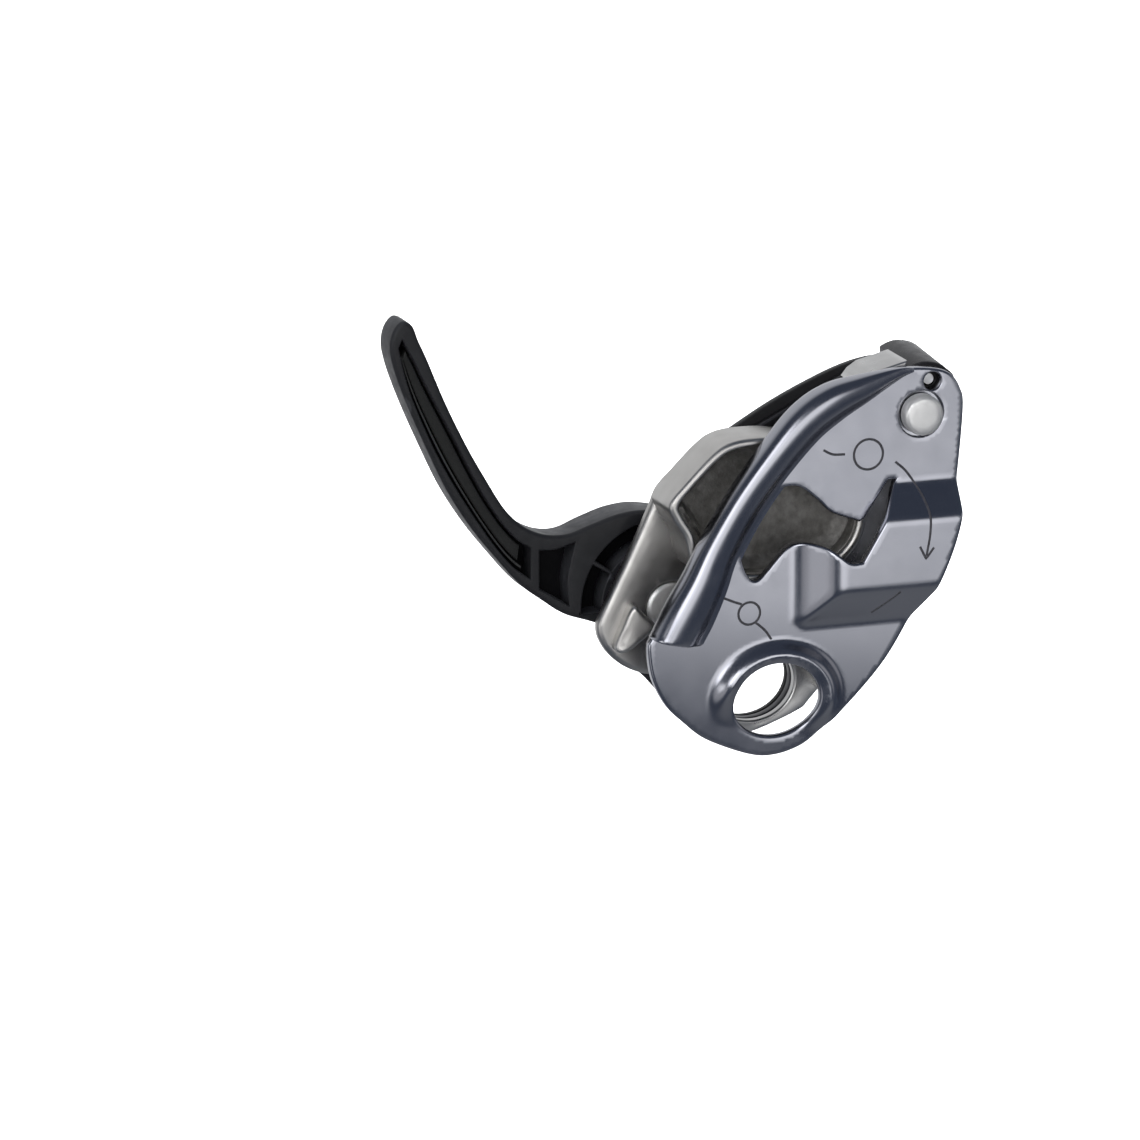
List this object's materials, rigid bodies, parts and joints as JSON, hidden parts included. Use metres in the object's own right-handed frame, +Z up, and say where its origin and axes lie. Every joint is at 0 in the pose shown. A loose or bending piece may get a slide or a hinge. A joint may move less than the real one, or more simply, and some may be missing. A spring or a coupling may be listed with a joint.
{
  "type": "belay device",
  "caption": "Assisted-braking belay device for one rope: swinging side plate with a rope window, spring-returned cam and long curved release handle.",
  "frame": {"origin": "centre of the carabiner eye, in the plane of the front face of the swinging side plate", "axes": "+Z up towards the main rivet end with the eye at the bottom, +X to the right seen from the swinging side plate, +Y through the thickness towards the rear cover"},
  "size_m": [0.115, 0.0392, 0.0922],
  "materials": {
    "anodised": "semi-gloss grey-violet anodising over rolled sheet",
    "frame_plate": "dark anodised plate with bare milled edge",
    "stainless": "satin stainless steel, rope polished",
    "cast_steel": "cast steel, satin on the outside and rough in the recess",
    "rivet": "satin steel with turned faces",
    "zinc": "zinc plated steel",
    "bronze": "sintered bronze",
    "spring_wire": "bright drawn spring wire",
    "nylon_cover": "black reinforced nylon, fine moulded texture",
    "nylon_cap": "black nylon, slightly polished by handling",
    "nylon_handle": "black reinforced nylon, semi-matt"
  },
  "bodies": {
    "swinging_plate": {"moving_side_plate": "anodised"},
    "root": {"fixed_side_plate": "frame_plate", "friction_plate": "stainless", "friction_plate_rivet_1": "rivet", "friction_plate_rivet_2": "rivet", "friction_plate_rivet_3": "rivet", "rear_cover": "nylon_cover", "cover_screw_1": "zinc", "cover_screw_2": "zinc", "cover_screw_3": "zinc", "top_cap": "nylon_cap", "stop_block": "stainless", "main_rivet": "rivet", "rivet_spacer": "stainless", "plate_washer": "zinc", "plate_stop_pin": "zinc", "cam_axle": "rivet", "cam_stop_pin": "rivet", "cam_return_spring": "spring_wire", "handle_spring": "spring_wire", "axle_washer": "zinc", "axle_clip": "spring_wire"},
    "cam_unit": {"cam": "cast_steel", "cam_bush": "bronze", "cam_drive_pin": "rivet"},
    "lever": {"handle": "nylon_handle", "handle_insert": "stainless", "handle_bush": "bronze"}
  },
  "joints": [
    {"name": "side_plate_swing", "type": "hinge", "parent": "root", "child": "swinging_plate", "pos_m": [0.03045, 0, 0.0564], "axis": [0, -1, 0], "range_deg": [0, 110]},
    {"name": "cam_pivot", "type": "hinge", "parent": "root", "child": "cam_unit", "pos_m": [-0.0176, 0, 0.0172], "axis": [0, 1, 0], "range_deg": [0, 15], "stiffness_Nm_per_rad": 0.06, "springref_deg": -28.65},
    {"name": "handle_swing", "type": "hinge", "parent": "root", "child": "lever", "pos_m": [-0.0176, 0, 0.0172], "axis": [0, -1, 0], "range_deg": [-50, 85]}
  ]
}
